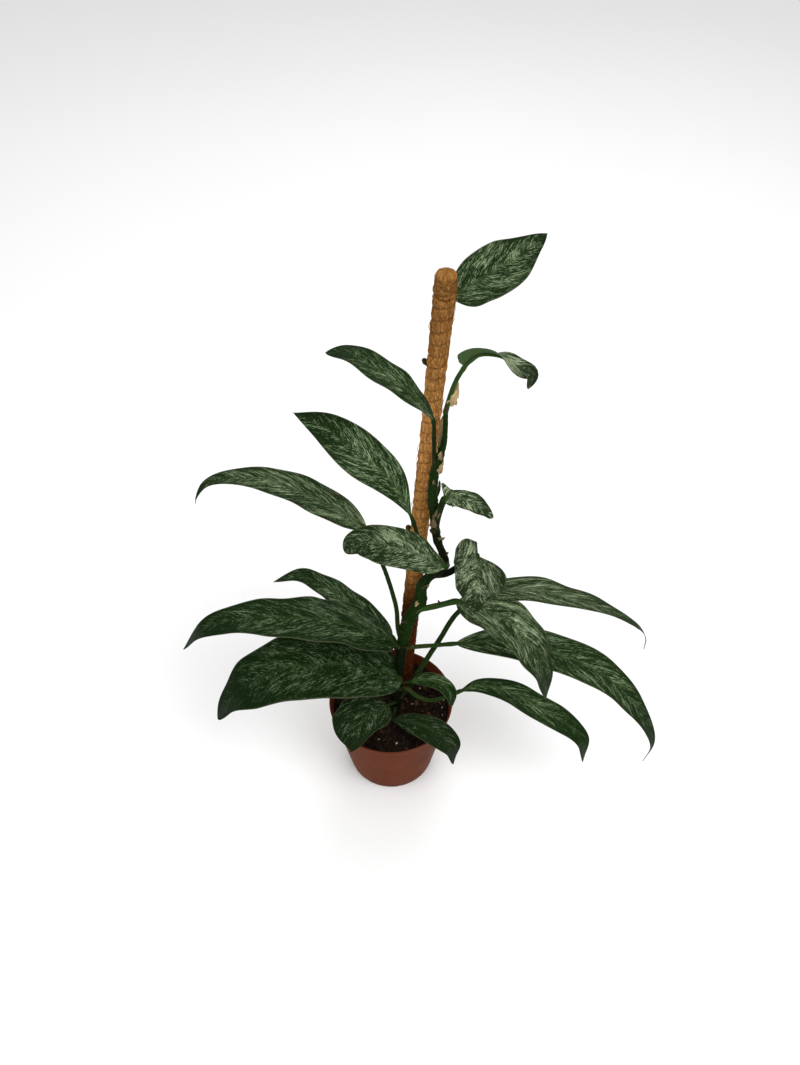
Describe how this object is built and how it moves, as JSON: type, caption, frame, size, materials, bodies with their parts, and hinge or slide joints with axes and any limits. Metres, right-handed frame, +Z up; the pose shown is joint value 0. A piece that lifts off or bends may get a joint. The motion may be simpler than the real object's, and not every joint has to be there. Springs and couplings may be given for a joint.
{
  "type": "potted mint rhaphidophora elliptica",
  "caption": "Climbing aroid house plant with lance-shaped mint-flecked leaves on long petioles, trained up a leaning coir pole in a round nursery pot that stands flat.",
  "frame": {"origin": "centre of the pot's flat underside", "axes": "+Z up along the pot's axis, -Y towards the front of the plant, +X to the right of someone who faces its front"},
  "size_m": [0.5277, 0.2174, 0.6715],
  "materials": {
    "pot": "satin moulded plastic, reddish brown",
    "soil": "moist crumbly potting mix of peat and bark with a few perlite grains",
    "stick": "plain turned stick",
    "coir": "matted coconut fibre bound with thread",
    "stem": "smooth green stem with nodes",
    "leaf": "semi-glossy dark green leaf with mint flecks along the side veins",
    "sheath": "dry papery leaf sheath"
  },
  "bodies": {
    "root": {"pot": "pot", "soil": "soil", "pole_stick": "stick", "coir_sleeve": "coir", "vine_front": "stem", "vine_back": "stem", "leaf_01": "leaf", "leaf_02": "leaf", "leaf_03": "leaf", "leaf_04": "leaf", "leaf_05": "leaf", "leaf_06": "leaf", "leaf_07": "leaf", "leaf_08": "leaf", "leaf_09": "leaf", "leaf_10": "leaf", "leaf_11": "leaf", "leaf_12": "leaf", "leaf_13": "leaf", "leaf_14": "leaf", "leaf_15": "leaf", "leaf_16": "leaf", "leaf_17": "leaf", "leaf_18": "leaf", "dry_sheath_upper": "sheath", "dry_sheath_tip": "sheath"}
  },
  "joints": []
}
